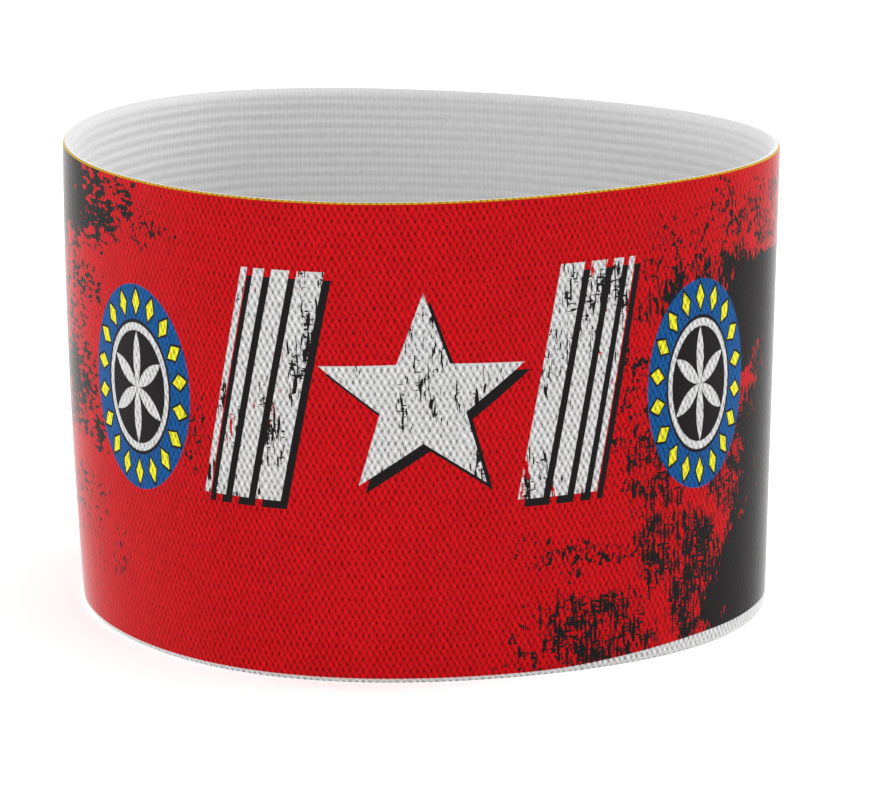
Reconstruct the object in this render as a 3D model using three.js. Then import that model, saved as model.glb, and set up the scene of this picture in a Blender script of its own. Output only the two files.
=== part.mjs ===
// Captain armband: one seamless loop of printed, ribbed elastic, standing on its lower edge.
// Millimetres, +Z up. The front of the band faces -Y, and the loop's bounding box is centred on Z.
// The outer face is smooth. The inner face carries flat ribs that run round the loop.
import * as THREE from "three";

// Driving dimensions
const LOOP_LENGTH = 334; // round the outer face, as a plain circle
const BAND_WIDTH = 70; // lower edge to upper edge
const CLOTH_THICKNESS = 1.8; // outer face to the crest of a rib
const RIB_PITCH = 1.6; // crest to crest, up the inner face
const RIB_DEPTH = 0.35; // crest to valley
const EDGE_ROUND = 0.4; // rounding of the outer corner of each edge

// Form of the soft loop, as shares of the sizes above
const FLARE_SHARE = 0.007; // of the mean radius: the upper edge stands out, the lower edge in
const BELLY_SHARE = 0.0063; // of the mean radius: the wall's outward swell halfway up
const BELLY_SIDE_DEG = 180; // the side that swells most; the opposite side stays straight

// How each edge departs from a circle: waves in one turn, height as a share of the mean radius,
// and the direction of one crest, anticlockwise from +X
const EDGE_WAVES = [
  { perTurn: 1, lowerShare: 0.004, lowerCrestDeg: -7, upperShare: 0.004, upperCrestDeg: 175 },
  { perTurn: 2, lowerShare: 0.024, lowerCrestDeg: -64, upperShare: 0.019, upperCrestDeg: -57 },
  { perTurn: 3, lowerShare: 0.023, lowerCrestDeg: -10, upperShare: 0.025, upperCrestDeg: -10 },
  { perTurn: 4, lowerShare: 0.004, lowerCrestDeg: -8, upperShare: 0.012, upperCrestDeg: -3 },
  { perTurn: 5, lowerShare: 0.0065, lowerCrestDeg: 33, upperShare: 0.0065, upperCrestDeg: -24 },
];

// How the upper edge rises and dips: waves in one turn, height as a share of the band's width
const RIM_WAVES = [
  { perTurn: 1, share: 0.007, crestDeg: -146 },
  { perTurn: 2, share: 0.009, crestDeg: -19 },
  { perTurn: 3, share: 0.0035, crestDeg: 29 },
];

// Facets
const SECTIONS_AROUND = 56;
const OUTER_ROWS = 5; // straight stretches up the outer face
const ROUND_STEPS = 2; // straight stretches in each rounded corner

const ELASTIC_RED = 0xcc1a20;

const meanRadius = LOOP_LENGTH / (2 * Math.PI);
const radians = THREE.MathUtils.degToRad;

/** Height of one wave above the mean line, in the direction angle. */
function wave(perTurn, share, crestDeg, angle) {
  return share * Math.cos(perTurn * (angle - radians(crestDeg)));
}

/** Radius of the outer face in the direction angle, at the share up of the band's width. */
function outerRadius(angle, up) {
  const flare = FLARE_SHARE * (2 * up - 1);
  const belly = BELLY_SHARE * (1 + Math.cos(angle - radians(BELLY_SIDE_DEG))) * 4 * up * (1 - up);
  let share = 1 + flare + belly;
  for (const row of EDGE_WAVES) {
    const lower = wave(row.perTurn, row.lowerShare, row.lowerCrestDeg, angle);
    const upper = wave(row.perTurn, row.upperShare, row.upperCrestDeg, angle);
    share += lower + (upper - lower) * up;
  }
  return meanRadius * share;
}

/** Height of the upper edge in the direction angle. */
function rimHeight(angle) {
  let share = 1;
  for (const row of RIM_WAVES) share += wave(row.perTurn, row.share, row.crestDeg, angle);
  return BAND_WIDTH * share;
}

/** Point on the outer face, as a plan vector. */
function outerPoint(angle, up) {
  const radius = outerRadius(angle, up);
  return new THREE.Vector2(radius * Math.cos(angle), radius * Math.sin(angle));
}

/** Outward unit normal of the outer face in plan, from the direction between two close points. */
function outwardNormal(angle, up) {
  const step = 1e-3;
  const along = outerPoint(angle + step, up).sub(outerPoint(angle - step, up)).normalize();
  return new THREE.Vector2(along.y, -along.x);
}

/**
 * Cross-section of the cloth, anticlockwise seen along the loop: depth is measured inward from
 * the outer face, and rise from the lower edge of a band of flat width BAND_WIDTH.
 */
function clothSection() {
  const points = [];
  for (let i = 0; i <= ROUND_STEPS; i += 1) {
    const turn = (Math.PI / 2) * (i / ROUND_STEPS);
    points.push({ depth: EDGE_ROUND * (1 - Math.sin(turn)), rise: EDGE_ROUND * (1 - Math.cos(turn)) });
  }
  const straight = BAND_WIDTH - 2 * EDGE_ROUND;
  for (let i = 1; i < OUTER_ROWS; i += 1) {
    points.push({ depth: 0, rise: EDGE_ROUND + (straight * i) / OUTER_ROWS });
  }
  for (let i = 0; i <= ROUND_STEPS; i += 1) {
    const turn = (Math.PI / 2) * (i / ROUND_STEPS);
    const rise = BAND_WIDTH - EDGE_ROUND * (1 - Math.sin(turn));
    points.push({ depth: EDGE_ROUND * (1 - Math.cos(turn)), rise });
  }
  const ribCount = Math.round(BAND_WIDTH / RIB_PITCH);
  const ribStep = BAND_WIDTH / ribCount;
  const valleyDepth = CLOTH_THICKNESS - RIB_DEPTH;
  for (let rib = ribCount; rib > 0; rib -= 1) {
    points.push({ depth: valleyDepth, rise: rib * ribStep });
    points.push({ depth: CLOTH_THICKNESS, rise: (rib - 0.5) * ribStep });
  }
  points.push({ depth: valleyDepth, rise: 0 });
  return points;
}

/** The closed loop: the cloth's cross-section carried round the outline. */
function bandGeometry() {
  const section = clothSection();
  const positions = [];
  for (let i = 0; i < SECTIONS_AROUND; i += 1) {
    const angle = (2 * Math.PI * i) / SECTIONS_AROUND;
    const stretch = rimHeight(angle) / BAND_WIDTH;
    for (const { depth, rise } of section) {
      const up = rise / BAND_WIDTH;
      const place = outerPoint(angle, up).addScaledVector(outwardNormal(angle, up), -depth);
      positions.push(place.x, place.y, rise * stretch);
    }
  }
  const indices = [];
  const count = section.length;
  for (let i = 0; i < SECTIONS_AROUND; i += 1) {
    const here = i * count;
    const next = ((i + 1) % SECTIONS_AROUND) * count;
    for (let j = 0; j < count; j += 1) {
      const k = (j + 1) % count;
      indices.push(here + j, next + j, next + k);
      indices.push(here + j, next + k, here + k);
    }
  }
  const geometry = new THREE.BufferGeometry();
  geometry.setAttribute("position", new THREE.Float32BufferAttribute(positions, 3));
  geometry.setIndex(indices);
  geometry.computeBoundingBox();
  const centre = geometry.boundingBox.getCenter(new THREE.Vector3());
  geometry.translate(-centre.x, -centre.y, 0);
  geometry.computeVertexNormals();
  return geometry;
}

const elastic = new THREE.MeshStandardMaterial({ color: ELASTIC_RED, roughness: 0.85, metalness: 0 });
const band = new THREE.Mesh(bandGeometry(), elastic);
band.name = "elastic_band";

const armband = new THREE.Group();
armband.name = "captain_armband";
armband.add(band);

export default armband;
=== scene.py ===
"""Looks of the captain armband: a soft loop of knitted elastic, printed outside and ribbed inside.

Lengths are in metres, and in millimetres where a name ends in _mm. The frame is the part's own:
+Z is up, the middle of the printed design faces -Y, and the band stands on the floor at z = 0.
A place on the cloth is given by its turn, the share of a whole turn from the middle of the
front, anticlockwise from above, and by its rise above the lower edge of the flat band.
"""

import logging
import math
from dataclasses import dataclass, field, replace
from enum import Enum

import bpy
import numpy as np
from mathutils import Matrix, Vector


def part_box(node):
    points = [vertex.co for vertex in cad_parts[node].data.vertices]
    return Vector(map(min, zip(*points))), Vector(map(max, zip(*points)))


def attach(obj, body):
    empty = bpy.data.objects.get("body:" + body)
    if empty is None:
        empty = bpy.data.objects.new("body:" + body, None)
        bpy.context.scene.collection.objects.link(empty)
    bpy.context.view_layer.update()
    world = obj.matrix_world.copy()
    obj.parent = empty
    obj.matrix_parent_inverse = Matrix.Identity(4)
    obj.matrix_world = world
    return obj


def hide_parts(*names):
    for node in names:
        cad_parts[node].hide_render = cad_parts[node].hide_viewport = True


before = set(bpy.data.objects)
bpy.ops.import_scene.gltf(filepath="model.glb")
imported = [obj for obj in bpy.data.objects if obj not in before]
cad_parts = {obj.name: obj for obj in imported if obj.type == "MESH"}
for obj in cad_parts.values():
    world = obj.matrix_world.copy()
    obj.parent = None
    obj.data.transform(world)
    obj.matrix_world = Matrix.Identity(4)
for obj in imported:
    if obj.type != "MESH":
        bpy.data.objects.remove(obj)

LOG = logging.getLogger("armband")
MM = 0.001
BAND_NODE = "elastic_band"
CLOTH_MAP = "ClothMm"  # UV map: mm round the loop from the middle of the front, and mm of rise
BAKE_MAP = "OFBake"  # UV map: each face has a place of its own in the unit square

# Inputs and outputs of Blender's Mix node when it mixes colours
MIX_SHARE, MIX_UNDER, MIX_OVER, MIXED = 0, 6, 7, 2

Inks = list[tuple[str, object]]  # colours, and the sockets of their masks


def linear(hex_colour: str) -> tuple[float, float, float, float]:
    """Turns an sRGB hex colour into Blender's linear colour.

    Args:
        hex_colour: six hex digits, such as "c8161e".

    Returns:
        Linear red, green and blue, and an alpha of 1.
    """
    shares = [int(hex_colour[i : i + 2], 16) / 255 for i in (0, 2, 4)]
    return *(s / 12.92 if s <= 0.04045 else ((s + 0.055) / 1.055) ** 2.4 for s in shares), 1.0


# Form of the loop


@dataclass(frozen=True)
class EdgeWave:
    """How the edges of the band depart from a circle: one wave, its heights as radius shares."""

    per_turn: int
    lower_share: float
    lower_crest_deg: float
    upper_share: float
    upper_crest_deg: float


@dataclass(frozen=True)
class RimWave:
    """How the upper edge rises and dips: one wave, its height as a share of the band's width."""

    per_turn: int
    share: float
    crest_deg: float


@dataclass(frozen=True)
class LoopForm:
    """Form of the band's outer face, from the sizes and tables that its solid is built from."""

    loop_length: float = 334 * MM
    band_width: float = 70 * MM
    cloth_thickness: float = 1.8 * MM
    edge_round: float = 0.4 * MM
    flare_share: float = 0.007
    belly_share: float = 0.0063
    belly_side_deg: float = 180.0
    edge_waves: tuple[EdgeWave, ...] = (
        EdgeWave(1, 0.004, -7, 0.004, 175),
        EdgeWave(2, 0.024, -64, 0.019, -57),
        EdgeWave(3, 0.023, -10, 0.025, -10),
        EdgeWave(4, 0.004, -8, 0.012, -3),
        EdgeWave(5, 0.0065, 33, 0.0065, -24),
    )
    rim_waves: tuple[RimWave, ...] = (
        RimWave(1, 0.007, -146),
        RimWave(2, 0.009, -19),
        RimWave(3, 0.0035, 29),
    )
    shift: tuple[float, float] = (0.0, 0.0)

    @property
    def mean_radius(self) -> float:
        """Radius of a plain circle of the loop's length."""
        return self.loop_length / (2 * math.pi)

    def outline(self, turn: np.ndarray, up: np.ndarray) -> tuple[np.ndarray, np.ndarray]:
        """Works out the outer face in plan.

        The radius is the mean one times 1, plus the flare, which grows evenly from the lower
        edge to the upper one, plus the belly, a parabola up the wall that is highest on one
        side, plus each wave, which passes evenly from its lower to its upper crest. The outward
        normal is the tangent turned by a quarter.

        Args:
            turn: shares of a turn from the middle of the front.
            up: shares of the band's width from the lower edge.

        Returns:
            Points and outward unit normals in plan, with x and y on the last axis.
        """
        angle = 2 * np.pi * turn - np.pi / 2
        from_side = angle - np.radians(self.belly_side_deg)
        swell = self.belly_share * 4 * up * (1 - up)
        share = 1 + self.flare_share * (2 * up - 1) + swell * (1 + np.cos(from_side))
        slope = -swell * np.sin(from_side)
        for row in self.edge_waves:
            for level, height, crest in (
                (1 - up, row.lower_share, row.lower_crest_deg),
                (up, row.upper_share, row.upper_crest_deg),
            ):
                phase = row.per_turn * (angle - np.radians(crest))
                share = share + level * height * np.cos(phase)
                slope = slope - level * height * row.per_turn * np.sin(phase)
        cos, sin = np.cos(angle), np.sin(angle)
        points = self.mean_radius * np.stack([share * cos, share * sin], axis=-1)
        normals = np.stack([share * cos + slope * sin, share * sin - slope * cos], axis=-1)
        normals /= np.linalg.norm(normals, axis=-1, keepdims=True)
        return points + np.array(self.shift), normals

    def rim_share(self, turn: np.ndarray) -> np.ndarray:
        """Height of the upper edge over the band's width: 1 plus each wave of the rim."""
        angle = 2 * np.pi * turn - np.pi / 2
        waves = [w.share * np.cos(w.per_turn * (angle - np.radians(w.crest_deg))) for w in self.rim_waves]
        return 1 + sum(waves)

    def place(self, turn: np.ndarray, rise: np.ndarray, depth: np.ndarray) -> np.ndarray:
        """Places points of the cloth: on the outline, then inward along its normal by the depth.

        Args:
            turn: one share of a turn for each column.
            rise: one rise above the flat band's lower edge for each row.
            depth: depth under the outer face, for each column and row.

        Returns:
            Points with columns, rows and x, y, z as its axes.
        """
        column, row = turn[:, None], rise[None, :]
        plan, normals = self.outline(column, row / self.band_width)
        plan = plan - normals * depth[..., None]
        height = row * self.rim_share(column)
        return np.concatenate([plan, height[..., None]], axis=-1)

    def corner(self, first_deg: float, last_deg: float, steps: int) -> tuple[np.ndarray, np.ndarray]:
        """Works out the rounded outer corner of an edge: a quarter circle, or part of it.

        Args:
            first_deg: where the part starts: 0 on the outer face and 90 on top of the edge.
            last_deg: where it ends.
            steps: how many straight stretches it has.

        Returns:
            How far each point lies below the top of the edge, and its depth.
        """
        turn = np.radians(np.linspace(first_deg, last_deg, steps + 1))
        return self.edge_round * (1 - np.sin(turn)), self.edge_round * (1 - np.cos(turn))

    def centred_on(self, low: Vector, high: Vector) -> "LoopForm":
        """Moves the form in plan so that its box is centred where a given box is.

        Args:
            low: lowest corner of the given box.
            high: highest corner of the given box.

        Returns:
            The same form with its shift set.
        """
        turn, rise = np.linspace(0, 1, 721), np.linspace(0, self.band_width, 29)
        own = self.place(turn, rise, np.zeros((turn.size, rise.size)))[..., :2].reshape(-1, 2)
        wanted = np.array([(low.x + high.x) / 2, (low.y + high.y) / 2])
        return replace(self, shift=tuple(wanted - (own.min(axis=0) + own.max(axis=0)) / 2))


@dataclass(frozen=True)
class Knit:
    """The outer face's knit: rows of small dimples, each row set half a step from the next."""

    dimples_round: int = 348  # 0.96 mm apart
    rows: int = 79  # 0.89 mm apart
    dimple_depth: float = 0.03 * MM
    plain_edge: float = 0.9 * MM  # over which the dimples fade out at each edge

    def relief(self, turn: np.ndarray, rise: np.ndarray, width: float) -> np.ndarray:
        """Works out how deep the knit dips under the outer face.

        A cosine round the loop times a cosine up it peaks at every dimple of the offset rows.
        Raised from its lowest value to 0 and squared, it leaves broad loops between narrow
        dimples. A smooth step fades it out at both edges.

        Args:
            turn: one share of a turn for each column.
            rise: one rise for each row.
            width: the band's width.

        Returns:
            Depths, 0 on the loops, for each column and row.
        """
        across = np.cos(2 * np.pi * self.dimples_round * turn)[:, None]
        upward = np.cos(np.pi * self.rows * rise / width)[None, :]
        inside = np.clip(np.minimum(rise, width - rise) / self.plain_edge, 0, 1)
        return self.dimple_depth * ((1 + across * upward) / 2) ** 2 * inside**2 * (3 - 2 * inside)


# Meshes


def grid_normals(points: np.ndarray) -> np.ndarray:
    """Works out a grid's unit normals, across its slopes round the loop and along the section.

    Args:
        points: columns, section points and x, y, z.

    Returns:
        One outward normal for each point.
    """
    normals = np.cross(np.gradient(points, axis=0), np.gradient(points, axis=1))
    return normals / np.linalg.norm(normals, axis=-1, keepdims=True)


@dataclass(frozen=True)
class Wrap:
    """A cross-section carried round part of the loop, or the whole of it, as a closed mesh."""

    turn: np.ndarray  # one for each column: a whole loop's last is 1 over its first
    rise: np.ndarray  # one for each point of the section
    points: np.ndarray  # columns, section points and x, y, z
    normals: np.ndarray  # the unit normal of each point
    bake_across: np.ndarray  # place across the bake map, for each column
    bake_up: np.ndarray  # place up it, for each section point, and for the first again
    whole: bool

    def corners(self) -> tuple[np.ndarray, np.ndarray, np.ndarray]:
        """Lists the corners of all faces.

        Each face of the wall joins two neighbouring columns and two neighbouring points of the
        section, and starts at the earlier of both so that it faces away from the cloth. A part
        of the loop is closed by one face over the section at each end.

        Returns:
            The column and the section point of each corner, and the number of corners by face.
        """
        column, point = np.meshgrid(
            np.arange(len(self.turn) - 1), np.arange(len(self.rise)), indexing="ij"
        )
        columns = (column.ravel()[:, None] + np.array([0, 1, 1, 0])).ravel()
        points = (point.ravel()[:, None] + np.array([0, 0, 1, 1])).ravel()
        sizes = np.full(column.size, 4)
        if not self.whole:
            ring = np.arange(len(self.rise))
            columns = np.concatenate([columns, 0 * ring, 0 * ring + len(self.turn) - 1])
            points = np.concatenate([points, ring, ring[::-1]])
            sizes = np.append(sizes, [len(ring), len(ring)])
        return columns, points, sizes

    def bake_places(self, columns: np.ndarray, points: np.ndarray) -> np.ndarray:
        """Places all corners in the bake map.

        A part of the loop fills the map, and its two end faces are rings in the strip along the
        top. A whole loop is cut in two halves, laid one over the other.

        Args:
            columns: the column of each corner.
            points: the section point of each corner.

        Returns:
            A place across and up the map for each corner.
        """
        places = np.stack([self.bake_across[columns], self.bake_up[points]], axis=-1)
        section = len(self.rise)
        if self.whole:
            second = np.repeat(columns[::4] >= len(self.turn) // 2, 4)
            places[:, 0] = 2 * (places[:, 0] - np.where(second, 0.5, 0.0))
            return places * (0.996, 0.49) + np.where(second[:, None], (0.002, 0.505), (0.002, 0.0))
        phase = 2 * np.pi * points[-2 * section :] / section
        centre = np.repeat([0.25, 0.75], section)
        ends = np.stack([centre + 0.2 * np.cos(phase), 0.985 + 0.008 * np.sin(phase)], axis=-1)
        places[-2 * section :] = ends
        return places

    def piece(self, name: str, loop_mm: float) -> bpy.types.Object:
        """Makes the object, with its normals and its two UV maps, and links it to the scene.

        Args:
            name: the piece's name.
            loop_mm: length of the whole loop, in millimetres.

        Returns:
            The new object.
        """
        columns, points, sizes = self.corners()
        count, section = len(self.turn) - self.whole, len(self.rise)
        mesh = bpy.data.meshes.new(name)
        mesh.vertices.add(count * section)
        mesh.vertices.foreach_set("co", self.points[:count].astype(np.float32).ravel())
        mesh.loops.add(len(columns))
        mesh.loops.foreach_set("vertex_index", (columns % count) * section + points % section)
        mesh.polygons.add(len(sizes))
        mesh.polygons.foreach_set("loop_start", np.cumsum(sizes) - sizes)
        mesh.polygons.foreach_set("use_smooth", np.ones(len(sizes), bool))
        cloth = np.stack([self.turn[columns] * loop_mm, self.rise[points % section] / MM], axis=-1)
        for label, places in ((CLOTH_MAP, cloth), (BAKE_MAP, self.bake_places(columns, points))):
            layer = mesh.uv_layers.new(name=label)
            layer.data.foreach_set("uv", places.astype(np.float32).ravel())
        mesh.update(calc_edges=True)
        mesh.normals_split_custom_set_from_vertices(self.normals[:count].reshape(-1, 3))
        made = bpy.data.objects.new(name, mesh)
        bpy.context.scene.collection.objects.link(made)
        return made


# Materials


class Wiring:
    """One material's node tree."""

    def __init__(self, name: str) -> None:
        """Makes an empty node material of that name."""
        self.material = bpy.data.materials.new(name)
        self.material.use_nodes = True
        self.tree = self.material.node_tree
        self.tree.nodes.clear()

    def add(self, kind: str, *inputs, out: int | str = 0, **settings) -> bpy.types.NodeSocket:
        """Adds a node with its settings, and fills or links its inputs.

        Args:
            kind: the node's type, without the leading ShaderNode, and its operation if any.
            inputs: values or sockets for its inputs in order, or one dict of them by name or number.
            out: which of its outputs is wanted.
            settings: the node's own settings.

        Returns:
            The wanted output, or the node's first input where it has no output.
        """
        kind, *operation = kind.split()
        node = self.tree.nodes.new("ShaderNode" + kind)
        if operation:
            node.operation = operation[0]
        for setting, value in settings.items():
            setattr(node, setting, value)
        named = inputs[0] if inputs and isinstance(inputs[0], dict) else dict(enumerate(inputs))
        for key, value in named.items():
            if isinstance(value, bpy.types.NodeSocket):
                self.tree.links.new(value, node.inputs[key])
            else:
                node.inputs[key].default_value = value
        return node.outputs[out] if len(node.outputs) else node.inputs[0]

    def within(self, value: object, low: float, high: float, blur: float) -> object:
        """Masks the places where a value lies in a range.

        Args:
            value: the value's socket.
            low: start of the range.
            high: end of the range.
            blur: width of the soft step at each end.

        Returns:
            A socket: 1 inside the range and 0 outside.
        """
        enters = self.add("MapRange", value, low - blur / 2, low + blur / 2, 0.0, 1.0)
        leaves = self.add("MapRange", value, high - blur / 2, high + blur / 2, 1.0, 0.0)
        return self.add("Math MULTIPLY", enters, leaves)

    def ink(self, colour: object, mask: object, over: object, **settings) -> object:
        """Lays one colour over another where a mask is 1. Returns the colour's socket."""
        inputs = {MIX_SHARE: mask, MIX_UNDER: colour, MIX_OVER: over}
        return self.add("Mix", inputs, data_type="RGBA", out=MIXED, **settings)


class ClothWiring(Wiring):
    """A cloth's node tree, with sockets of the place on the cloth in mm and in the object in m."""

    def __init__(self, name: str) -> None:
        """Makes an empty node material, and adds both sockets."""
        super().__init__(name)
        self.place = self.add("UVMap", uv_map=CLOTH_MAP)
        self.at = self.add("TexCoord", out="Object")


class Streak(Enum):
    """How the dark print is worn: by strokes, and by rarer ones that cross them.

    Each is how often it turns over in a metre along x, y and z, and how much rarer it is.
    """

    UPRIGHT = ((2000.0, 2000.0, 520.0, 0.0),)
    LEVEL = ((600.0, 600.0, 1350.0, 0.0),)
    CROSSED = ((2400.0, 2400.0, 420.0, 0.0), (900.0, 900.0, 2400.0, 0.07))
    DOTTED = ((1700.0, 1700.0, 950.0, 0.0),)


@dataclass(frozen=True)
class Oval:
    """An upright ellipse of the print: its middle, half width and half height."""

    round_mm: float
    rise_mm: float
    half_round_mm: float
    half_rise_mm: float


@dataclass(frozen=True)
class Patch(Oval):
    """A patch where the dark print shows over the red, and thins out at its edge.

    A density over 1 makes it solid. Its edge is soft over a share of its half width and height.
    """

    density: float
    soft: float = 0.8


# The patches of the dark print, by how they are worn
PATCHES: dict[Streak, tuple[Patch, ...]] = {
    Streak.UPRIGHT: (
        Patch(101, 24, 40, 37, 4.0, 0.3),
        Patch(68, 6, 17, 14, 4.0, 0.4),
        Patch(67, 49, 18, 7, 4.0, 0.4),
        Patch(51, 54, 13, 4, 0.9),
        Patch(128, 40, 34, 44, 3.0, 0.4),
    ),
    Streak.LEVEL: (
        Patch(-90, 71, 28, 16, 4.0, 0.3),
        Patch(-60, 66, 13, 5, 0.7),
        Patch(-68, 52, 12, 9, 0.36),
        Patch(-84, 37, 22, 9, 0.95, 0.6),
        Patch(-64, 34, 10, 6, 0.5),
        Patch(-80, 19, 17, 8, 0.27),
        Patch(156, 62, 26, 13, 0.8),
        Patch(-112, 60, 26, 15, 0.9),
    ),
    Streak.CROSSED: (
        Patch(56, 28, 6, 11, 0.6),
        Patch(45, 12, 4, 13, 0.6, 0.7),
        Patch(51, 3, 5, 5, 0.6, 0.7),
        Patch(38, 23, 5, 13, 0.42),
        Patch(28, 6, 9, 6, 0.55, 0.7),
        Patch(176, 12, 30, 15, 0.42),
    ),
    Streak.DOTTED: (
        Patch(19, 4, 8, 6, 0.16),
        Patch(25, 17, 9, 2, 0.36, 0.9),
        Patch(34, 38, 4, 15, 0.26),
        Patch(63, 63, 17, 6, 0.34),
        Patch(45, 60, 11, 6, 0.2),
        Patch(-47, 63, 9, 4, 0.18),
        Patch(-57, 14, 13, 8, 0.12),
        Patch(-33, 33, 3, 9, 0.18),
    ),
}


@dataclass(frozen=True)
class Bar:
    """A slanting bar of the print, on both sides of the star, by its distances from the middle."""

    inner_mm: float
    outer_mm: float


@dataclass(frozen=True)
class PrintedKnit:
    """Polyester elastic, knitted white and dye-sublimated: matt ink colours over a dimpled knit.

    The dye takes the knit's own surface, so the print has no edge or gloss of its own. Painted
    shade darkens the dimples and a painted highlight lightens the loops between them, less
    towards the band's two sides and hardly at all over the black ink, and the fibres look pale
    where the face turns away.
    """

    knit: Knit
    loop_mm: float
    width_mm: float
    wiring: ClothWiring = field(default_factory=lambda: ClothWiring("dye_sublimated_polyester_knit"))
    red: str = "be0e15"
    deep_red: str = "ae0c13"
    black: str = "1a1718"
    white: str = "c4c4c4"
    blue: str = "114d87"
    yellow: str = "d9d32b"
    gold: str = "bd981c"
    cloth: str = "c6c6c6"
    gold_from_mm: float = 69.75
    selvedge_mm: float = 0.62
    wide_selvedge_mm: float = 2.1
    wide_selvedge_at_mm: float = 56.0
    wide_selvedge_span_mm: tuple[float, float] = (40.0, 6.0)  # off its middle: start, and peak
    emblem_mm: tuple[float, float] = (1.0, 43.2)
    emblem_half_rise_mm: float = 16.8
    emblem_blur_mm: float = 0.06
    star_reach_mm: float = 15.4
    star_tip_deg: float = 20.0
    star_lift_mm: float = 1.5
    slant: float = 0.2
    bars: tuple[Bar, ...] = (Bar(17.0, 20.9), Bar(22.0, 24.7), Bar(25.8, 27.5), Bar(28.5, 29.5))
    shadow_mm: tuple[float, float] = (0.95, -1.15)
    roundels: tuple[Oval, ...] = (Oval(-46.0, 39.5, 11.6, 15.2), Oval(46.3, 39.6, 10.3, 15.5))
    lozenges: int = 18

    def material(self) -> bpy.types.Material:
        """Makes the material: the print in its layers, then the knit's painted shade and highlight over
        it.

        Returns:
            The material.
        """
        wiring, add = self.wiring, self.wiring.add
        colour = self._ground()
        for ink, mask in self._layers():
            colour = wiring.ink(colour, mask, linear(ink))
        yarn = self._yarn()
        # painted shade in the dimples and painted highlight on the loops, times the yarn's random tone
        shade = add("Math MULTIPLY", add("MapRange", self._dimple_shade(), -0.5, 1.0, 1.17, 0.25), yarn)
        painted_shade_tone = add("CombineColor", shade, shade, shade)
        # the painted shade shows less over dark ink, where the dimples catch little light
        lightness = add("SeparateColor", colour, mode="HSV", out=2)
        shown = add("MapRange", lightness, 0.012, 0.1, 0.12, 1.0)
        colour = wiring.ink(colour, shown, painted_shade_tone, blend_type="MULTIPLY")
        bump = add("Bump", {"Height": yarn, "Strength": 0.3, "Distance": 0.1 * MM})
        shader = {
            "Base Color": colour,
            "Roughness": 0.85,
            "Specular IOR Level": 0.06,
            "Sheen Weight": 1.0,
            "Sheen Roughness": 0.23,
            "Normal": bump,
        }
        add("OutputMaterial", add("BsdfPrincipled", shader))
        return wiring.material

    def _ground(self) -> object:
        """Red ground, mottled slightly in clouds of some 6 mm. Returns its colour socket."""
        cloud = self.wiring.add("TexNoise", {"Vector": self.wiring.at, "Scale": 160.0, "Detail": 2.0})
        return self.wiring.ink(linear(self.deep_red), cloud, linear(self.red))

    def _layers(self) -> Inks:
        """Lists the inks over the ground in the order that they are printed.

        Returns:
            The inks and their masks.
        """
        add, place = self.wiring.add, self.wiring.place
        offset = add("VectorMath SUBTRACT", place, (*self.shadow_mm, 0.0))
        layers = [(self.black, mask) for mask in self._dark_patches()]
        layers.append((self.black, self._emblem(offset)))
        layers += self._worn_emblem()
        for roundel in self.roundels:
            layers += self._roundel(roundel)
        rise = add("SeparateXYZ", place, out="Y")
        gold = self.wiring.within(rise, self.gold_from_mm, 2 * self.width_mm, 0.05)
        return [*layers, (self.gold, gold), (self.cloth, self._selvedge())]

    def _selvedge(self) -> object:
        """Masks the white selvedge along the lower edge, widest at one place on the right.

        Returns:
            The mask's socket.
        """
        add = self.wiring.add
        around, rise = (add("SeparateXYZ", self.wiring.place, out=axis) for axis in "XY")
        off = add("Math ABSOLUTE", add("Math SUBTRACT", around, self.wide_selvedge_at_mm))
        bounds = (*self.wide_selvedge_span_mm, self.selvedge_mm, self.wide_selvedge_mm)
        level = add("MapRange", off, *bounds, interpolation_type="SMOOTHSTEP")
        over = add("Math SUBTRACT", rise, level)
        return add("MapRange", over, -0.05, 0.05, 1.0, 0.0)

    def _dark_patches(self) -> list[object]:
        """Masks the worn dark print, by kind of streak.

        Each patch's density falls evenly over its soft edge, in a place pushed about by noise
        so that no edge is smooth. Where two overlap, the denser one counts, and clouds of some
        4 mm thin it out. Ink shows where a streaky noise as fine as the threads stays under a
        bound: the fourth root of the density, times a value that lets nearly all of it through.

        Returns:
            The masks' sockets, one for each kind of streak.
        """
        add, at = self.wiring.add, self.wiring.at
        push = {"Vector": at, "Scale": 80.0, "Detail": 5.0, "Roughness": 0.65}
        pushed = add("VectorMath SUBTRACT", add("TexNoise", push, out="Color"), (0.5,) * 3)
        pushed = add("VectorMath MULTIPLY_ADD", pushed, (20.0, 18.0, 0.0), self.wiring.place)
        cloud = add("TexNoise", {"Vector": at, "Scale": 260.0, "Detail": 2.0})
        gain = add("MapRange", cloud, 0.34, 0.64, 0.45, 1.35)
        masks = []
        for streak, patches in PATCHES.items():
            density = 0.0
            for patch in patches:
                off = self._from_middle(pushed, patch)
                reach = add("VectorMath LENGTH", off, out="Value")
                start, end = 1 + patch.soft / 2, 1 - patch.soft / 2
                share = add("MapRange", reach, start, end, 0.0, patch.density)
                density = add("Math MAXIMUM", density, share)
            density = add("Math MULTIPLY", density, gain)
            bound = add("Math MULTIPLY", add("Math POWER", density, 0.25), 0.62)
            under = add("Math SUBTRACT", bound, self._strokes(streak))
            masks.append(add("MapRange", under, -0.006, 0.006, 0.0, 1.0))
        return masks

    def _strokes(self, streak: Streak) -> object:
        """Makes streaky noise from 0 to 1, or the lower of two.

        Args:
            streak: how its strokes run.

        Returns:
            The noise's socket.
        """
        add, lowest = self.wiring.add, 1.0
        for *often, rarer in streak.value:
            stretched = add("VectorMath MULTIPLY", self.wiring.at, tuple(often))
            noise = add("TexNoise", {"Vector": stretched, "Scale": 1.0, "Detail": 2.0, "Roughness": 0.5})
            noise = add("Math ADD", noise, rarer)
            lowest = add("Math MINIMUM", lowest, noise)
        return lowest

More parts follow.
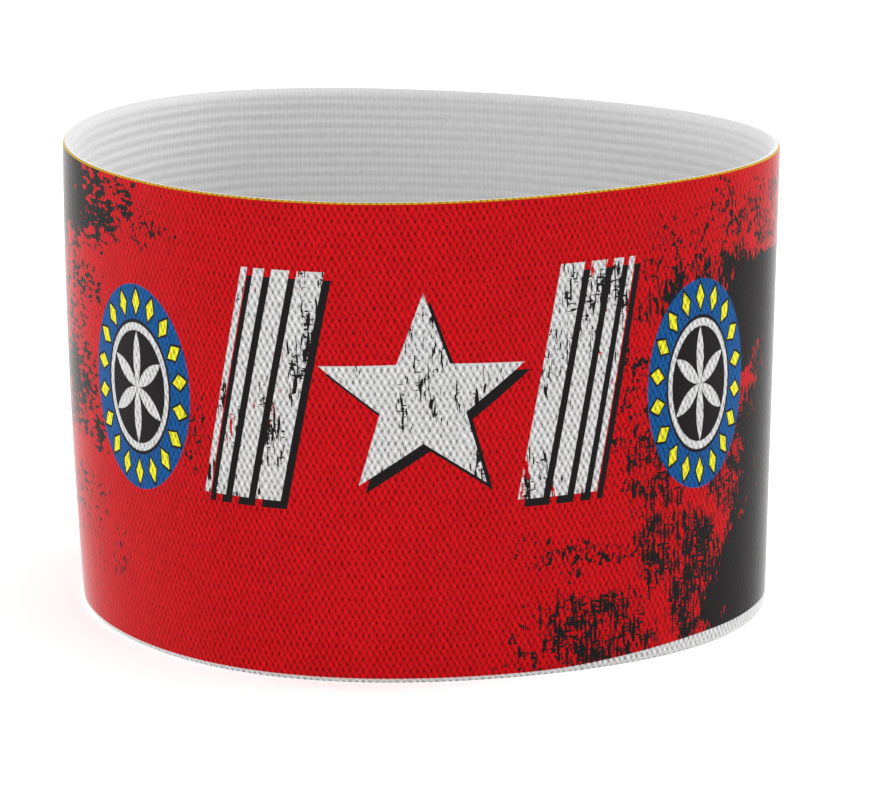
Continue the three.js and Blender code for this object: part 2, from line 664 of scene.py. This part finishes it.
    def _from_middle(self, place: object, oval: Oval) -> object:
        """Measures a place from an oval's middle, in the oval's half width and half height.

        The distance round the loop is taken the shorter way, so that the print has no seam.

        Args:
            place: socket of a place on the cloth, in millimetres.
            oval: the oval.

        Returns:
            The distance's socket.
        """
        add, half_loop = self.wiring.add, (self.loop_mm / 2, self.loop_mm / 2, 1.0)
        centre, half = (oval.round_mm, oval.rise_mm, 0.0), (oval.half_round_mm, oval.half_rise_mm, 1.0)
        off = add("VectorMath SUBTRACT", place, centre)
        off = add("VectorMath WRAP", off, half_loop, tuple(-x for x in half_loop))
        return add("VectorMath DIVIDE", off, half)

    def _worn_emblem(self) -> Inks:
        """Lists the inks of the white motif: black or red shows through where it is worn.

        A broad, tall noise makes the strokes of wear denser here and there. A second one says
        whether they show the black under-print or the red.

        Returns:
            The inks and their masks.
        """
        add = self.wiring.add
        motif = self._emblem(self.wiring.place)
        tall = add("VectorMath MULTIPLY", self.wiring.at, (230.0, 230.0, 75.0))
        broad = add("TexNoise", {"Vector": tall, "Scale": 1.0, "Detail": 2.0}, out="Color")
        wear, under = (add("SeparateColor", broad, out=channel) for channel in ("Red", "Green"))
        blackened = add("MapRange", under, 0.46, 0.48, 0.0, 1.0)
        bound = add("MapRange", wear, 0.40, 0.66, 0.22, 0.52)
        over = add("Math SUBTRACT", self._strokes(Streak.CROSSED), bound)
        whole = add("MapRange", over, -0.008, 0.008, 0.0, 1.0)
        black, white = (add("Math MULTIPLY", motif, x) for x in (blackened, whole))
        return [(self.black, black), (self.white, white)]

    def _emblem(self, place: object) -> object:
        """Masks the white motif: a five-pointed star between slanting bars that grow thinner.

        Folded into half a sector, a star's point lies inside where its distance times the
        sine of its angle plus the tip's half angle stays under the same product at the tip. A
        bar is a range of the distance from the slanting middle line.

        Args:
            place: socket of the place on the cloth, in millimetres.

        Returns:
            The mask's socket.
        """
        add, within, blur = self.wiring.add, self.wiring.within, self.emblem_blur_mm
        off = add("VectorMath SUBTRACT", place, (*self.emblem_mm, 0.0))
        across, upward = (add("SeparateXYZ", off, out=axis) for axis in "XY")
        tip = math.radians(self.star_tip_deg)
        raised = add("Math ADD", upward, self.star_lift_mm)
        angle = add("Math ARCTAN2", across, raised)
        folded = add("Math ADD", add("Math PINGPONG", angle, math.pi / 5), tip)
        reach = add("VectorMath LENGTH", add("CombineXYZ", across, raised), out="Value")
        product = add("Math MULTIPLY", reach, add("Math SINE", folded))
        mask = within(product, -1.0, self.star_reach_mm * math.sin(tip), blur)
        leaning = add("Math MULTIPLY_ADD", upward, -self.slant, across)
        side, height = (add("Math ABSOLUTE", x) for x in (leaning, upward))
        level = within(height, -1.0, self.emblem_half_rise_mm, blur)
        for bar in self.bars:
            stripe = within(side, bar.inner_mm, bar.outer_mm, blur)
            stripe = add("Math MULTIPLY", stripe, level)
            mask = add("Math MAXIMUM", mask, stripe)
        return mask

    def _roundel(self, roundel: Oval) -> Inks:
        """Lists the inks of one badge: blue ring, yellow lozenges, and a six-petal rosette.

        In the badge's own units its rim is at 1. A lozenge is where the shares of its half
        length and half width add to under 1. A petal is the lens between two circles whose
        radius is its length, so after folding by a sixth of a turn it is one circle.

        Args:
            roundel: the badge's place and size.

        Returns:
            The inks and their masks.
        """
        add, within = self.wiring.add, self.wiring.within
        blur, disc, line, petal = 0.008, 0.66, (0.55, 0.625), 0.545
        ring, half_width, half_length = 0.83, 0.078, 0.125
        fill, outline, lozenge_blur = 0.98, 1.32, 0.08
        off = self._from_middle(self.wiring.place, roundel)
        across, upward = (add("SeparateXYZ", off, out=axis) for axis in "XY")
        reach = add("VectorMath LENGTH", off, out="Value")
        angle = add("Math ARCTAN2", across, upward)
        folded = add("Math PINGPONG", angle, math.pi / self.lozenges)
        sideways = add("Math MULTIPLY", folded, ring / half_width)
        along = add("Math ABSOLUTE", add("Math SUBTRACT", reach, ring))
        spread = add("Math MULTIPLY_ADD", along, 1 / half_length, sideways)
        sixth = add("Math PINGPONG", angle, math.pi / 6)
        outward = add("Math MULTIPLY", reach, add("Math COSINE", sixth))
        beside = add("Math MULTIPLY", reach, add("Math SINE", sixth))
        outward = add("Math SUBTRACT", outward, petal / 2)
        beside = add("Math ADD", beside, petal * math.sqrt(3) / 2)
        circle = add("VectorMath LENGTH", add("CombineXYZ", outward, beside), out="Value")
        return [
            (self.blue, within(reach, -1.0, 1.0, blur)),
            (self.black, within(spread, -1.0, outline, lozenge_blur)),
            (self.yellow, within(spread, -1.0, fill, lozenge_blur)),
            (self.black, within(reach, -1.0, disc, blur)),
            (self.white, within(reach, *line, blur)),
            (self.white, within(circle, -1.0, petal, blur)),
        ]

    def _dimple_shade(self) -> object:
        """Draws the knit's painted shade: 1 in the middle of each dimple, and down to -0.5 for the
        painted highlight on the loops between.

        A cosine round the loop times a cosine up it peaks at each dimple, where a power narrows
        it, and is lowest halfway to the next dimple of the row. Every other row is shallower,
        narrower, and slanted by a sawtooth within the row. Noise bends the rows and weakens
        some dimples. The painted shade and highlight weaken to 0.6 towards the band's two
        sides, where the face turns away.

        Returns:
            The pattern's socket.
        """
        add, at = self.wiring.add, self.wiring.at
        step_mm = self.loop_mm / self.knit.dimples_round
        row_mm = self.width_mm / self.knit.rows
        bend = add("TexNoise", {"Vector": at, "Scale": 650.0, "Detail": 1.0}, out="Color")
        bend = add("VectorMath SUBTRACT", bend, (0.5,) * 3)
        bent = add("VectorMath MULTIPLY_ADD", bend, (0.5, 0.45, 0.0), self.wiring.place)
        around, rise = (add("SeparateXYZ", bent, out=axis) for axis in "XY")
        row = add("Math MULTIPLY_ADD", rise, 1 / row_mm, 0.5)
        half_row = add("Math MULTIPLY", row, 0.5)
        odd = add("Math GREATER_THAN", add("Math FRACT", half_row), 0.5)
        within_row = add("Math SUBTRACT", add("Math FRACT", row), 0.5)
        slant = add("MapRange", odd, 0.0, 1.0, 0.08, 0.32)
        leaning = add("Math MULTIPLY_ADD", within_row, slant, around)
        across = add("Math MULTIPLY", leaning, 2 * math.pi / step_mm)
        upward = add("Math MULTIPLY", rise, math.pi / row_mm)
        across, upward = (add("Math COSINE", x) for x in (across, upward))
        both = add("Math MULTIPLY", across, upward)
        # painted highlight on the loops between the dimples
        loops = add("Math MULTIPLY", add("Math MINIMUM", both, 0.0), 0.5)
        both = add("Math MAXIMUM", both, 0.0)
        # painted shade, peaking narrowly in each dimple
        narrow = add("Math POWER", both, add("MapRange", odd, 0.0, 1.0, 1.2, 1.6))
        patchy = add("TexNoise", {"Vector": at, "Scale": 850.0, "Detail": 1.0})
        strength = add("MapRange", patchy, 0.3, 0.7, 0.7, 1.15)
        strength = add("Math MULTIPLY", strength, add("MapRange", odd, 0.0, 1.0, 1.0, 0.92))
        pattern = add("Math MULTIPLY_ADD", narrow, strength, loops)
        # painted shade and highlight weaken towards the two sides, where the face turns away
        side = add("Math ABSOLUTE", add("SeparateXYZ", at, out="X"))
        side_fade = add("MapRange", side, 28 * MM, 50 * MM, 1.0, 0.6)
        return add("Math MULTIPLY", pattern, side_fade)

    def _yarn(self) -> object:
        """Light and dark of the yarn's own loops, some 0.4 mm long. Returns a socket near 1."""
        stretched = self.wiring.add("VectorMath MULTIPLY", self.wiring.at, (2600.0, 2600.0, 1500.0))
        noise = self.wiring.add("TexNoise", {"Vector": stretched, "Scale": 1.0, "Detail": 1.0})
        return self.wiring.add("MapRange", noise, 0.3, 0.7, 0.84, 1.1)


@dataclass(frozen=True)
class RibbedKnit:
    """Undyed white polyester elastic, the inside of the knit: ribs with fine upright wales.

    It is matt and softer in the grooves. Painted shade greys the grooves, and painted shade
    on the low parts of its wales shows them as faint upright lines.
    """

    loop_mm: float
    rib_mm: float
    white: str = "cdcdcd"
    # colour of the painted shade in the grooves
    groove_shade: str = "c6c6c6"
    wale_mm: float = 0.72

    def material(self) -> bpy.types.Material:
        """Makes the material: painted shade in the grooves, set by the rise, and painted shade on
        the wales, set by the place round the loop.

        Returns:
            The material.
        """
        wiring = ClothWiring("undyed_ribbed_polyester_knit")
        add, at = wiring.add, wiring.at
        around, rise = (add("SeparateXYZ", wiring.place, out=axis) for axis in "XY")
        # painted shade greys the grooves between the ribs
        grooves = add("Math COSINE", add("Math MULTIPLY", rise, 2 * math.pi / self.rib_mm))
        share = add("MapRange", grooves, -0.2, 1.0, 0.0, 1.0)
        colour = wiring.ink(linear(self.white), share, linear(self.groove_shade))
        wales = round(self.loop_mm / self.wale_mm)
        phase = add("Math MULTIPLY", around, 2 * math.pi * wales / self.loop_mm)
        stretched = add("VectorMath MULTIPLY", at, (420.0, 420.0, 180.0))
        uneven = add("TexNoise", {"Vector": stretched, "Scale": 1.0, "Detail": 3.0})
        phase = add("Math MULTIPLY_ADD", uneven, 9.0, phase)
        wale = add("Math MULTIPLY", add("Math COSINE", phase), uneven)
        fuzz = add("TexNoise", {"Vector": at, "Scale": 1500.0, "Detail": 2.0})
        height = add("Math MULTIPLY_ADD", wale, 0.4, fuzz)
        # painted shade of the wales' relief, darker where they run low, with the fuzz's random tone
        shade = add("MapRange", height, 0.2, 0.8, 0.93, 1.03)
        painted_shade_tone = add("CombineColor", shade, shade, shade)
        colour = wiring.ink(colour, 1.0, painted_shade_tone, blend_type="MULTIPLY")
        bump = add("Bump", {"Height": height, "Strength": 0.5, "Distance": 0.08 * MM})
        shader = {
            "Base Color": colour,
            "Roughness": 0.9,
            "Specular IOR Level": 0.1,
            "Sheen Weight": 0.7,
            "Sheen Roughness": 0.3,
            "Normal": bump,
        }
        add("OutputMaterial", add("BsdfPrincipled", shader))
        return wiring.material


@dataclass(frozen=True)
class LightTable:
    """Opal acrylic of a studio's light table: matt and even, and lit faintly from below."""

    white: str = "f7f7f6"
    glow: float = 0.25

    def material(self) -> bpy.types.Material:
        """Makes the material, with the faint grain of its matt side.

        Returns:
            The material.
        """
        wiring = Wiring("opal_acrylic_sheet")
        grain = wiring.add("TexNoise", {"Scale": 400.0, "Detail": 3.0})
        bump = wiring.add("Bump", {"Height": grain, "Strength": 0.05, "Distance": 0.05 * MM})
        shader = {
            "Base Color": linear(self.white),
            "Roughness": 0.9,
            "Normal": bump,
            "Emission Color": linear(self.white),
            "Emission Strength": self.glow,
        }
        wiring.add("OutputMaterial", wiring.add("BsdfPrincipled", shader))
        return wiring.material


# Sub-assemblies


def declare(piece: bpy.types.Object, flat: tuple[float, float], material: bpy.types.Material) -> None:
    """Dresses a piece of the band, hangs it on the root in place of the solid, hides the solid,
    and logs its faces and flat length.

    Args:
        piece: the piece.
        flat: width and length of the sheet before it was joined in a loop.
        material: its material.
    """
    piece.data.materials.append(material)
    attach(piece, "root")
    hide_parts(BAND_NODE)
    LOG.info("%s: %d faces, %.1f mm long flat", piece.name, len(piece.data.polygons), flat[1] / MM)


class Span(Enum):
    """The four stretches of the printed face, from dimple to dimple. They meet between motifs."""

    FRONT = (-33, 36)
    RIGHT = (36, 129)
    BACK = (129, 222)
    LEFT = (-126, -33)


@dataclass(frozen=True)
class PrintedFace:
    """The printed outer face of the cloth, in four stretches that meet edge to edge."""

    form: LoopForm
    knit: Knit
    finish: PrintedKnit
    sheet_depth: float = 0.85 * MM
    edge_deg: float = 74.0  # how far the print goes over the rounded corner of each edge
    columns_a_dimple: int = 4
    rows_a_dimple: int = 3
    edge_steps: int = 4
    hidden_drop: float = 0.6 * MM  # from each edge to where the hidden face starts
    hidden_rows: int = 8
    bake_share: float = 0.94  # of the bake map's height, for the face that shows

    def build(self) -> list[bpy.types.Object]:
        """Builds the four stretches and dresses them.

        Returns:
            The four pieces.
        """
        material = self.finish.material()
        return [self._stretch(span, material) for span in Span]

    def _stretch(self, span: Span, material: bpy.types.Material) -> bpy.types.Object:
        """Builds one stretch: the knit's relief outside, and a smooth hidden face inside.

        The section runs up the outer face, in at the top, down the hidden face and out at the
        foot. One column more at each end is worked out for the slopes, and then left off.

        Args:
            span: which stretch.
            material: the printed knit.

        Returns:
            The piece.
        """
        first, last = span.value
        steps = np.arange(first * self.columns_a_dimple - 1, last * self.columns_a_dimple + 2)
        turn = steps / (self.columns_a_dimple * self.knit.dimples_round)
        width, edge = self.form.band_width, self.form.edge_round
        below, edge_depth = self.form.corner(0, self.edge_deg, self.edge_steps)
        middle = np.linspace(edge, width - edge, self.rows_a_dimple * self.knit.rows + 1)[1:-1]
        outer = np.concatenate([below[::-1], middle, width - below])
        flat_depth = np.concatenate([edge_depth[::-1], 0 * middle, edge_depth])
        hidden = np.linspace(width - self.hidden_drop, self.hidden_drop, self.hidden_rows + 1)
        relief = flat_depth + self.knit.relief(turn, outer, width)
        back = np.full((turn.size, hidden.size), self.sheet_depth)
        face, inside = self.form.place(turn, outer, relief), self.form.place(turn, hidden, back)
        shown = np.linspace(0.004, self.bake_share, outer.size)
        wrap = Wrap(
            turn[1:-1],
            np.concatenate([outer, hidden]),
            np.concatenate([face, inside], axis=1)[1:-1],
            np.concatenate([grid_normals(face), grid_normals(inside)], axis=1)[1:-1],
            np.linspace(0.005, 0.995, turn.size - 2),
            np.concatenate([shown, self.bake_share + np.linspace(0.004, 0.03, hidden.size + 1)]),
            False,
        )
        piece = wrap.piece(f"printed_face_{span.name.lower()}", self.form.loop_length / MM)
        length = self.form.loop_length * (last - first) / self.knit.dimples_round
        declare(piece, (width - 2 * below[-1], length), material)
        return piece


@dataclass(frozen=True)
class RibbedFace:
    """The white inner face of the cloth with the rims of both edges, in one piece."""

    form: LoopForm
    finish: RibbedKnit
    rib_count: int = 44
    rib_depth: float = 0.15 * MM
    edge_deg: float = 76.0  # where it starts on the rounded corner of each edge
    sheet_depth: float = 0.87 * MM
    columns: int = 248
    rows_a_rib: int = 8
    corner_steps: int = 2
    lip_steps: int = 8
    hidden_drop: float = 0.6 * MM  # as the printed face's
    hidden_rows: int = 8
    stray: float = 0.09 * MM  # how far a rib strays up and down on its way round

    def build(self) -> bpy.types.Object:
        """Builds the piece and dresses it.

        The section runs from the top of the outer corner over the rim, down the ribs and under
        the foot, and closes along the hidden face that the printed face lies on. Here too
        one column more at each end serves the slopes.

        Returns:
            The piece.
        """
        width, pitch = self.form.band_width, self.form.band_width / self.rib_count
        turn = np.arange(-1, self.columns + 2) / self.columns
        ribs = np.linspace(width - pitch, pitch, (self.rib_count - 2) * self.rows_a_rib + 1)[1:-1]
        top_rise, top_depth = self._rim()
        rise = np.concatenate([width - top_rise, ribs, top_rise[::-1]])
        rims = np.concatenate([top_depth, 0 * ribs, top_depth[::-1]])
        depth = np.repeat(rims[None, :], turn.size, axis=0)
        on_ribs = slice(top_rise.size, top_rise.size + ribs.size)
        depth[:, on_ribs] = self._rib_depths(turn[:, None], ribs[None, :])
        hidden = np.linspace(self.hidden_drop, width - self.hidden_drop, self.hidden_rows + 1)
        back = np.full((turn.size, hidden.size), self.sheet_depth)
        face, outside = self.form.place(turn, rise, depth), self.form.place(turn, hidden, back)
        shown = np.linspace(0.004, 0.95, rise.size)
        wrap = Wrap(
            turn[1:-1],
            np.concatenate([rise, hidden]),
            np.concatenate([face, outside], axis=1)[1:-1],
            np.concatenate([grid_normals(face), grid_normals(outside)], axis=1)[1:-1],
            turn[1:-1],
            np.concatenate([shown, np.linspace(0.955, 0.996, hidden.size + 1)]),
            True,
        )
        piece = wrap.piece("ribbed_inner_face", self.form.loop_length / MM)
        declare(piece, (width, self.form.loop_length), self.finish.material())
        return piece

    def _rib_depths(self, turn: np.ndarray, rise: np.ndarray) -> np.ndarray:
        """Works out the ribs' depth under the outer face.

        A rib is a sine squared. Two slow waves round the loop let each rib stray a little, and
        a third makes it fuller and flatter by turns.

        Args:
            turn: shares of a turn, as a column.
            rise: rises, as a row.

        Returns:
            Depths for each column and row.
        """
        along, up = 2 * np.pi * turn, rise / MM
        waves = np.sin(7 * along + 0.06 * up) + 0.6 * np.sin(17 * along - 0.23 * up)
        phase = np.pi * self.rib_count * (rise + self.stray * waves) / self.form.band_width
        fullness = 0.85 + 0.15 * np.sin(11 * along + 1.7 * up)
        valley = self.form.cloth_thickness - self.rib_depth
        return valley + self.rib_depth * fullness * np.sin(phase) ** 2

    def _rim(self) -> tuple[np.ndarray, np.ndarray]:
        """Works out the rim, from where the printed face ends over the top to the first rib.

        The cloth thins to a lip over the pitch of one rib: a quarter of an ellipse, from the
        top of the outer corner to the level of the ribs' valleys.

        Returns:
            How far each point lies from the edge, and its depth.
        """
        corner_rise, corner_depth = self.form.corner(self.edge_deg, 90, self.corner_steps)
        turn = np.linspace(0, np.pi / 2, self.lip_steps + 1)[1:]
        thinned = self.form.cloth_thickness - self.rib_depth - self.form.edge_round
        lip_rise = self.form.band_width / self.rib_count * (1 - np.cos(turn))
        lip_depth = self.form.edge_round + thinned * np.sin(turn)
        return np.concatenate([corner_rise, lip_rise]), np.concatenate([corner_depth, lip_depth])


@dataclass(frozen=True)
class Lamp:
    """A square soft lamp, aimed at the band."""

    name: str
    place: tuple[float, float, float]
    side: float
    watts: float


@dataclass(frozen=True)
class Studio:
    """The floor, the light and the camera at the photograph's viewing angle."""

    form: LoopForm
    floor_side: float = 8.0
    camera_back: float = 0.696
    camera_height: float = 0.18696
    picture_px: tuple[int, int] = (875, 785)
    focal_px: float = 4666.0
    sensor_mm: float = 36.0
    pitch_deg: float = 12.655
    yaw_deg: float = 0.269
    roll_deg: float = 0.198
    sky: float = 1.0
    lamps: tuple[Lamp, ...] = (
        Lamp("soft_key", (-0.8, -1.2, 0.55), 0.8, 3.6),
        Lamp("soft_back", (0.95, 0.35, 0.95), 0.8, 6.0),
        Lamp("soft_rim_left", (-1.0, 0.6, 0.12), 0.22, 6.5),
        Lamp("soft_rim_right", (1.0, 0.6, 0.3), 0.6, 6.5),
    )

    def build(self) -> None:
        """Sets up the floor, the lights, the camera and the way that colours are shown."""
        self._floor()
        self._lights()
        self._camera()
        bpy.context.scene.view_settings.view_transform = "Standard"

    def _floor(self) -> None:
        """Lays the floor as one square that the band stands on."""
        half = self.floor_side / 2
        mesh = bpy.data.meshes.new("studio_floor")
        corners = [(-half, -half, 0), (half, -half, 0), (half, half, 0), (-half, half, 0)]
        mesh.from_pydata(corners, [], [(0, 1, 2, 3)])
        mesh.materials.append(LightTable().material())
        floor = bpy.data.objects.new("studio_floor", mesh)
        bpy.context.scene.collection.objects.link(floor)

    def _lights(self) -> None:
        """Sets an even white sky, and the soft lamps."""
        world = bpy.data.worlds.new("studio_sky")
        world.use_nodes = True
        sky = world.node_tree.nodes["Background"]
        sky.inputs["Color"].default_value = (1.0, 1.0, 1.0, 1.0)
        sky.inputs["Strength"].default_value = self.sky
        bpy.context.scene.world = world
        for lamp in self.lamps:
            light = bpy.data.lights.new(lamp.name, "AREA")
            light.shape, light.size, light.energy = "SQUARE", lamp.side, lamp.watts
            stand = bpy.data.objects.new(lamp.name, light)
            stand.location = lamp.place
            aim = Vector((0, 0, 0.03)) - stand.location
            stand.rotation_euler = aim.to_track_quat("-Z", "Y").to_euler()
            bpy.context.scene.collection.objects.link(stand)

    def _camera(self) -> None:
        """Stands the camera where the photograph's was, fitted to the band's outline there."""
        yaw, pitch, roll = (math.radians(x) for x in (self.yaw_deg, self.pitch_deg, self.roll_deg))
        level = math.cos(pitch)
        ahead = Vector((math.sin(yaw) * level, math.cos(yaw) * level, -math.sin(pitch)))
        right = Vector((math.cos(yaw), -math.sin(yaw), 0))
        up = right.cross(ahead)
        across = right * math.cos(roll) - up * math.sin(roll)
        upward = right * math.sin(roll) + up * math.cos(roll)
        lens = bpy.data.cameras.new("camera")
        lens.sensor_fit, lens.sensor_width = "HORIZONTAL", self.sensor_mm
        lens.lens = self.focal_px / self.picture_px[0] * self.sensor_mm
        lens.clip_start, lens.clip_end = 0.01, 50
        camera = bpy.data.objects.new("camera", lens)
        place = Vector((self.form.shift[0], self.form.shift[1] - self.camera_back, self.camera_height))
        axes = Matrix((across, upward, -ahead)).transposed().to_4x4()
        camera.matrix_world = Matrix.Translation(place) @ axes
        bpy.context.scene.collection.objects.link(camera)
        bpy.context.scene.camera = camera


def main() -> None:
    """Builds the studio, then the armband's pieces in order, and logs each piece."""
    logging.basicConfig(level=logging.INFO, format="%(name)s: %(message)s")
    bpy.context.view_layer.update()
    form = LoopForm().centred_on(*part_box(BAND_NODE))
    knit, ribbed = Knit(), RibbedFace.rib_count
    loop_mm, width_mm = form.loop_length / MM, form.band_width / MM
    Studio(form).build()
    PrintedFace(form, knit, PrintedKnit(knit, loop_mm, width_mm)).build()
    RibbedFace(form, RibbedKnit(loop_mm, width_mm / ribbed)).build()


if __name__ == "__main__":
    main()
